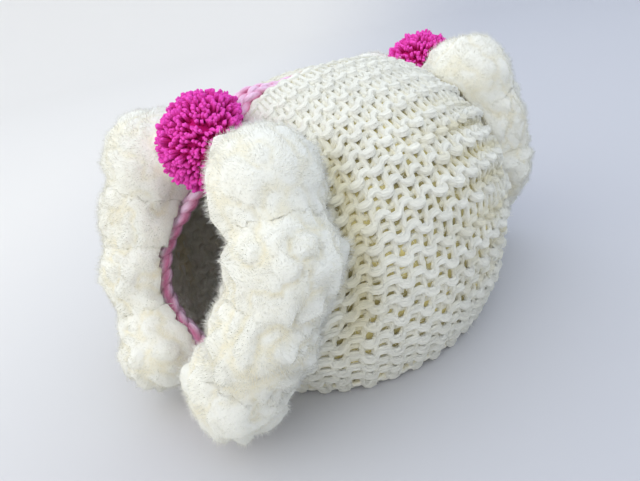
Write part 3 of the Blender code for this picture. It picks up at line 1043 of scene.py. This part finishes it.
def factor_setting(name, description, value):
    """A share, or a factor of something else."""
    return bpy.props.FloatProperty(name=name, description=description, default=value, subtype="FACTOR")


def colour_setting(name, description, value):
    """A colour as red, green and blue, each linear."""
    return bpy.props.FloatVectorProperty(name=name, description=description, default=value,
                                         subtype="COLOR")


def count_setting(name, description, value, least):
    """A whole number that isn't under the least."""
    return bpy.props.IntProperty(name=name, description=description, default=value, min=least)


class CosyPanelSettings(bpy.types.PropertyGroup):
    """Knitting of the two panels."""
    stitches: count_setting("Stitches", "Stitches in a row", 20, 2)
    rows: count_setting("Rows", "Rows from hem to crest", 38, 2)
    segments: count_setting("Segments", "Yarn segments in a stitch", 14, 8)
    sides: count_setting("Sides", "Sides round the yarn", 6, 3)
    yarn_radius: length_setting("Yarn radius", "Half the yarn's thickness", 2.2 * MM)
    loop_height: length_setting("Loop height", "Half the height of a loop", 4.0 * MM)
    loop_depth: length_setting("Loop depth", "How far loops stand out and in", 1.5 * MM)
    leg_slimness: factor_setting("Leg slimness", "How much thinner the yarn is in a loop's legs", 0.25)
    head_slimness: factor_setting("Head slimness", "How much thinner the yarn is in a loop's head", 0.10)
    crest_calm: factor_setting("Crest calm", "How much flatter loops lie toward the crest", 0.4)
    crest_lift: length_setting("Crest lift", "How far the near panel's crest is lifted", 0.6 * MM)
    crest_sink: length_setting("Crest sink", "How far the far panel's crest is sunk", 2.0 * MM)
    crest_drop: length_setting("Crest drop", "How much lower the far panel's knitting ends", 1.5 * MM)
    furrow: length_setting("Furrow", "Depth of the furrows toward the handle", 2.0 * MM)
    # How much shade is painted on the yarn in the cloth's middle and in the furrows.
    leg_shade: factor_setting("Leg shade", "How much darker the yarn is in the cloth's middle", 0.3)
    furrow_shade: factor_setting("Furrow shade", "How much darker the yarn is in the furrows", 0.65)
    softness: factor_setting("Softness", "How far a yarn's shading takes after the cloth's", 0.7)
    fuzz: count_setting("Fuzz", "Loose fibres on a panel", 10000, 0)
    fuzz_length: length_setting("Fuzz length", "Length of a loose fibre", 2.3 * MM)
    fuzz_radius: length_setting("Fuzz radius", "Half a loose fibre's thickness", 0.11 * MM)
    hem_level: factor_setting("Hem level", "Level of the plaited hem, as a share of the height", 0.012)
    hem_length: length_setting("Hem plait", "Length in which a strand of the hem swings once", 26 * MM)
    foot_lift: factor_setting("Foot lift", "How much further a loop's foot swings out and in", 0.3)
    loop_lean: factor_setting("Loop fullness", "How much fuller heads and feet are, in stitches", 0.09)
    cloth_middle: length_setting("Cloth middle", "Depth of the cloth's middle under its outer face",
                                 3.6 * MM)
    ground_depth: length_setting("Ground depth", "Depth of the ground under the outer face", 3.6 * MM)
    ground_thickness: length_setting("Ground thickness", "Thickness of the ground", 0.9 * MM)
    unevenness: factor_setting("Unevenness", "How much hand-made loops differ", 0.09)
    colour: colour_setting("Yarn colour", "Colour of the cream yarn", (0.875, 0.855, 0.735))
    # Painted shade colour of the yarn where it lies deep.
    shade_colour: colour_setting("Yarn shade colour", "Colour where the yarn lies deep",
                                (0.70, 0.62, 0.36))
    # The ground's colour is painted shade, seen through the holes.
    hole_shade_colour: colour_setting("Hole shade colour", "Colour of the ground in the holes", (0.46, 0.39, 0.16))


class CosyEdgingSettings(bpy.types.PropertyGroup):
    """Plaited edgings."""
    plait_length: length_setting("Plait length", "Length in which a strand swings once", 23 * MM)
    plait_width: length_setting("Plait width", "How far a strand swings sideways", 2.2 * MM)
    plait_depth: length_setting("Plait depth", "How far a strand swings in and out", 0.9 * MM)
    plait_step: length_setting("Plait step", "Length of one segment", 1.3 * MM)
    crest_slimness: factor_setting("Crest slimness", "How much thinner the plait is along the crest",
                                   0.25)
    strand_radius: length_setting("Strand radius", "Half a strand's thickness", 2.4 * MM)
    strand_sides: count_setting("Strand sides", "Sides round a strand", 8, 3)
    colour: colour_setting("Edging colour", "Colour of the pink yarn", (0.97, 0.70, 0.86))
    # Painted shade colour between the strands.
    shade_colour: colour_setting("Edging shade colour", "Colour between the strands", (0.72, 0.20, 0.36))


class CosyPompomSettings(bpy.types.PropertyGroup):
    """White and magenta pompoms."""
    radius: length_setting("White radius", "Radius of a white pompom", 22 * MM)
    top_smoothness: factor_setting("Top smoothness",
                                   "How much smoother the top pompom of each row is", 0.35)
    bulge: length_setting("Bulge", "How far fleece swells beside the cloth", 1.2 * MM)
    bulge_width: length_setting("Bulge width", "Width of the swollen fleece", 7 * MM)
    sway: length_setting("Sway", "How far the seam between two pompoms sways", 2.0 * MM)
    relief: length_setting("Fleece relief", "Height of the fleece's lumps", 1.5 * MM)
    fibres: count_setting("Fibres", "Fibres on a white pompom", 5700, 0)
    softness: factor_setting("Softness", "How much a pompom's shading takes after a plain surface's",
                             0.76)
    fibre_length: length_setting("Fibre length", "Length of a fibre", 2.7 * MM)
    fibre_radius: length_setting("Fibre radius", "Half a fibre's thickness at its root", 0.09 * MM)
    fibre_lean: factor_setting("Fibre lean", "How far fibres lean from upright", 0.8)
    magenta_radius: length_setting("Magenta radius", "Radius of a magenta pompom", 21 * MM)
    ends: count_setting("Plies", "Plies on a magenta pompom", 1980, 12)
    end_radius: length_setting("Ply radius", "Half a ply's thickness", 0.76 * MM)
    end_sides: count_setting("Ply sides", "Sides round a ply", 4, 3)
    white: colour_setting("White", "Colour of the white fleece", (0.90, 0.888, 0.79))
    # Painted shade colour between the white lumps.
    white_shade: colour_setting("White shade", "Colour between the white lumps", (0.84, 0.77, 0.55))
    magenta: colour_setting("Magenta", "Colour of the magenta ends", (0.99, 0.10, 0.60))
    # Painted shade colour at the magenta roots and core.
    magenta_shade: colour_setting("Magenta shade", "Colour between the magenta ends",
                                 (0.80, 0.015, 0.27))


class CosyStageSettings(bpy.types.PropertyGroup):
    """Floor and light."""
    # The floor runs from this darker, cooler colour near the middle to a lighter, warmer far one: painted
    # light.
    floor: colour_setting("Floor colour", "Colour of the floor", (0.55, 0.548, 0.56))
    lit_far_floor: colour_setting("Lit far floor colour", "Colour of the floor in the distance",
                              (0.80, 0.765, 0.70))
    floor_radius: length_setting("Floor radius", "Where the floor starts to rise", 1.3)
    wall_height: length_setting("Wall height", "Height of the low wall round the floor", 0.7)
    key_power: bpy.props.FloatProperty(
        name="Key light", description="Power of the window light", default=15.0, unit="POWER")
    fill_power: factor_setting("Fill light", "Strength of the light from all round", 1.13)


class CosySettings(bpy.types.PropertyGroup):
    """All settings of the tea cosy."""
    panel: bpy.props.PointerProperty(
        name="Panels", description="Knitting of the two panels", type=CosyPanelSettings)
    edging: bpy.props.PointerProperty(
        name="Edgings", description="Plaited edgings", type=CosyEdgingSettings)
    pompom: bpy.props.PointerProperty(
        name="Pompoms", description="White and magenta pompoms", type=CosyPompomSettings)
    stage: bpy.props.PointerProperty(
        name="Stage", description="Floor and light", type=CosyStageSettings)


# ---------------------------------------------------------------- operators


class COSY_OT_panels(bpy.types.Operator):
    """Knit the near and the far panel"""
    bl_idname = "cosy.panels"
    bl_label = "Knit panels"

    def execute(self, context):
        settings = context.scene.cosy.panel
        yarn = wool_material("Cream yarn", settings.colour, settings.shade_colour, 900, 0.8,
                             streak=0.2, yarn_turn=13 * MM)
        fibre = fibre_material("Cream fibre", settings.colour)
        # The ground's outer face is painted with the shade seen through the holes, darker in some holes
        # than others.
        hole = wool_material("Shaded ground", settings.hole_shade_colour, settings.hole_shade_colour, 1200, 0.3,
                             mottle=1.2)
        for number, (name, side) in enumerate((("panel_near", -1), ("panel_far", 1))):
            stitches = build_stitches(name + "_stitches", side, settings, yarn, fibre, 20 + number)
            ground = build_ground(name + "_ground", side, settings, hole, yarn)
            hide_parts(name)
            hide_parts(name)
        return {"FINISHED"}


class COSY_OT_edgings(bpy.types.Operator):
    """Plait the edgings along the panels' free sides"""
    bl_idname = "cosy.edgings"
    bl_label = "Plait edgings"

    def execute(self, context):
        settings = context.scene.cosy.edging
        yarn = wool_material("Pink yarn", settings.colour, settings.shade_colour, 900, 1.0,
                             streak=0.25, yarn_turn=12 * MM)
        for name, side in (("edging_near", -1), ("edging_far", 1)):
            edging = build_edging(name + "_plait", side, settings, yarn)
            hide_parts(name)
        return {"FINISHED"}


class COSY_OT_white_pompoms(bpy.types.Operator):
    """Make the white pompoms beside the openings"""
    bl_idname = "cosy.white_pompoms"
    bl_label = "Make white pompoms"

    def execute(self, context):
        settings = context.scene.cosy.pompom
        wool = wool_material("White wool", settings.white, settings.white_shade, 900, 0.3,
                             mottle=0.05, streak=0.08)
        fibre = fibre_material("White fibre", settings.white)
        ball = ball_mesh(5)
        places = [place[3:] for place in BALLS] + [(x, 0, z) for _, x, z in TOP_BALLS]
        radii = [settings.radius] * len(BALLS) + [settings.magenta_radius] * len(TOP_BALLS)
        balls = (np.array(places) * MM, np.array(radii))
        top = [count == 1 for _, _, count, *_ in BALLS] + [True] * len(TOP_BALLS)
        calm = settings.top_smoothness * np.array(top)
        cloth = cloth_balls()
        for number, (side, panel, count, *_) in enumerate(BALLS):
            name = f"pompom_{side}_{panel}_{count}"
            build_white_pompom(name, balls[0][number], settings, balls, calm, cloth, (wool, fibre),
                               100 + number, ball)
        return {"FINISHED"}


class COSY_OT_magenta_pompoms(bpy.types.Operator):
    """Make the magenta pompoms over the openings"""
    bl_idname = "cosy.magenta_pompoms"
    bl_label = "Make magenta pompoms"

    def execute(self, context):
        settings = context.scene.cosy.pompom
        wool = wool_material("Magenta yarn", settings.magenta, settings.magenta_shade, 1500, 0.5,
                             streak=0.35, yarn_turn=4 * MM)
        core = ball_mesh(3)
        for number, (side, x, z) in enumerate(TOP_BALLS):
            name = f"pompom_{side}_top"
            build_magenta_pompom(name, np.array([x, 0, z]) * MM, settings, wool, 200 + number, core)
        return {"FINISHED"}


CAMERA_PLACE = (-0.189, -0.193, 0.174)
CAMERA_YAW = 42.7               # degrees from +Y toward +X
CAMERA_PITCH = 25.8             # degrees downward
CAMERA_ROLL = -11.5             # degrees
CAMERA_LENS = 31.22             # mm on a 36 mm sensor
FLOOR_SIDES = 96
# The floor's lighter, warmer far colour is painted light.
FAR_WAY = (-0.5, 0.87, 0)       # the floor's far colour comes in this way from the middle
FAR_REACH = (-0.15, 0.45)       # between these distances in metres
LAMP_SIZE = (2.6, 2.1)
LAMP_PLACE = (-1.40, 0.1, 1.30)
LAMP_AIM = (0.0, 0.08, 0.0)
LAMP_COLOUR = (1.0, 0.90, 0.72)
SKY_COLOUR = (0.86, 0.95, 1.12, 1)


def camera_matrix():
    """The camera's axes from yaw, pitch and roll: right, up and back, as columns."""
    yaw, pitch, roll = (math.radians(angle) for angle in (CAMERA_YAW, CAMERA_PITCH, CAMERA_ROLL))
    forward = Vector((math.sin(yaw) * math.cos(pitch), math.cos(yaw) * math.cos(pitch), -math.sin(pitch)))
    level = Vector((math.cos(yaw), -math.sin(yaw), 0))
    above = level.cross(forward)
    right = level * math.cos(roll) + above * math.sin(roll)
    up = above * math.cos(roll) - level * math.sin(roll)
    matrix = Matrix((right, up, -forward)).transposed().to_4x4()
    matrix.translation = CAMERA_PLACE
    return matrix


def aimed(place, target):
    """A matrix at place whose -Z axis points to target."""
    place = Vector(place)
    turn = (Vector(target) - place).to_track_quat("-Z", "Y")
    return Matrix.Translation(place) @ turn.to_matrix().to_4x4()


def backdrop_profile(settings):
    """Radius and height of the floor's rings: flat, then a quarter of a circle up to a low wall."""
    bend = np.linspace(0, math.pi / 2, 13)
    radius = settings.floor_radius + settings.wall_height * np.sin(bend)
    height = settings.wall_height * (1 - np.cos(bend))
    return np.concatenate([[0.5, 1.0], radius]), np.concatenate([[0, 0], height])


def floor_mesh(settings):
    """The floor's rings of points, joined round its middle point."""
    radius, height = backdrop_profile(settings)
    turn = 2 * math.pi * np.arange(FLOOR_SIDES) / FLOOR_SIDES
    rings = np.stack([radius[:, None] * np.cos(turn), radius[:, None] * np.sin(turn),
                      np.broadcast_to(height[:, None], (len(radius), FLOOR_SIDES))], axis=-1)
    points = np.concatenate([[[0, 0, 0]], rings.reshape(-1, 3)])
    index = 1 + np.arange(len(radius) * FLOOR_SIDES).reshape(len(radius), FLOOR_SIDES)
    fan = np.stack([np.zeros(FLOOR_SIDES, int), index[0], np.roll(index[0], -1)], axis=-1)
    mesh = bpy.data.meshes.new("Floor")
    mesh.from_pydata(points.tolist(), [], fan.tolist() + ring_quads(index).tolist())
    mesh.shade_smooth()
    return mesh


def floor_material(settings):
    """Smooth paint whose colour grows lighter and warmer toward the distance, as painted light."""
    paint = bpy.data.materials.new("Pale floor")
    paint.use_nodes = True
    tree = paint.node_tree
    shader = tree.nodes["Principled BSDF"]
    set_inputs(shader, {"Roughness": 0.6, "Specular IOR Level": 0.2})
    place = new_node(tree, "ShaderNodeTexCoord", (-900, 0))
    distance = new_node(tree, "ShaderNodeVectorMath", (-700, 0), {1: FAR_WAY}, operation="DOT_PRODUCT")
    share = new_node(tree, "ShaderNodeMapRange", (-500, 0), {
        "From Min": FAR_REACH[0], "From Max": FAR_REACH[1]}, interpolation_type="SMOOTHSTEP")
    blend = new_node(tree, "ShaderNodeMix", (-300, 0), {
        "A": (*settings.floor, 1), "B": (*settings.lit_far_floor, 1)}, data_type="RGBA")
    link_all(tree, (place, "Object", distance, 0), (distance, "Value", share, "Value"),
             (share, "Result", blend, "Factor"), (blend, "Result", shader, "Base Color"))
    return paint


def add_lights(scene, settings):
    """A wide lamp as a window, and a cool sky."""
    key = bpy.data.lights.new("Window light", "AREA")
    key.shape = "RECTANGLE"
    key.size, key.size_y = LAMP_SIZE
    key.color = LAMP_COLOUR
    key.energy = settings.key_power
    add_object("Window light", key).matrix_world = aimed(LAMP_PLACE, LAMP_AIM)
    world = bpy.data.worlds.new("Daylight")
    world.use_nodes = True
    set_inputs(world.node_tree.nodes["Background"], {"Color": SKY_COLOUR,
                                                     "Strength": settings.fill_power})
    scene.world = world


class COSY_OT_stage(bpy.types.Operator):
    """Set up the pale floor, the soft light and the camera"""
    bl_idname = "cosy.stage"
    bl_label = "Set up stage"

    def execute(self, context):
        settings = context.scene.cosy.stage
        camera = bpy.data.cameras.new("Camera")
        camera.lens = CAMERA_LENS
        camera.sensor_width = 36
        camera.clip_start = 0.01
        view = add_object("Camera", camera)
        view.matrix_world = camera_matrix()
        context.scene.camera = view
        floor = add_object("Floor", floor_mesh(settings))
        floor.data.materials.append(floor_material(settings))
        add_lights(context.scene, settings)
        context.scene.view_settings.view_transform = "Standard"
        return {"FINISHED"}


class COSY_PT_sidebar(bpy.types.Panel):
    """Lists the tea cosy's operators and settings"""
    bl_idname = "COSY_PT_sidebar"
    bl_label = "Tea cosy"
    bl_space_type = "VIEW_3D"
    bl_region_type = "UI"
    bl_category = "Tea cosy"

    def draw(self, context):
        for operator in OPERATORS:
            self.layout.operator(operator.bl_idname)
        for group in (context.scene.cosy.panel, context.scene.cosy.edging,
                      context.scene.cosy.pompom, context.scene.cosy.stage):
            column = self.layout.column()
            for name in group.__annotations__:
                column.prop(group, name)


SETTINGS = (CosyPanelSettings, CosyEdgingSettings, CosyPompomSettings, CosyStageSettings, CosySettings)
OPERATORS = (COSY_OT_panels, COSY_OT_edgings, COSY_OT_white_pompoms, COSY_OT_magenta_pompoms,
             COSY_OT_stage)


def register():
    """Add the settings, the operators and the sidebar panel to Blender."""
    for thing in (*SETTINGS, *OPERATORS, COSY_PT_sidebar):
        bpy.utils.register_class(thing)
    bpy.types.Scene.cosy = bpy.props.PointerProperty(
        name="Tea cosy", description="All settings of the tea cosy", type=CosySettings)


def unregister():
    """Take them out again."""
    del bpy.types.Scene.cosy
    for thing in reversed((*SETTINGS, *OPERATORS, COSY_PT_sidebar)):
        bpy.utils.unregister_class(thing)


def main():
    """Build everything in the scene."""
    register()
    bpy.ops.cosy.panels()
    bpy.ops.cosy.edgings()
    bpy.ops.cosy.white_pompoms()
    bpy.ops.cosy.magenta_pompoms()
    bpy.ops.cosy.stage()
    bpy.context.view_layer.update()


if __name__ == "__main__":
    main()
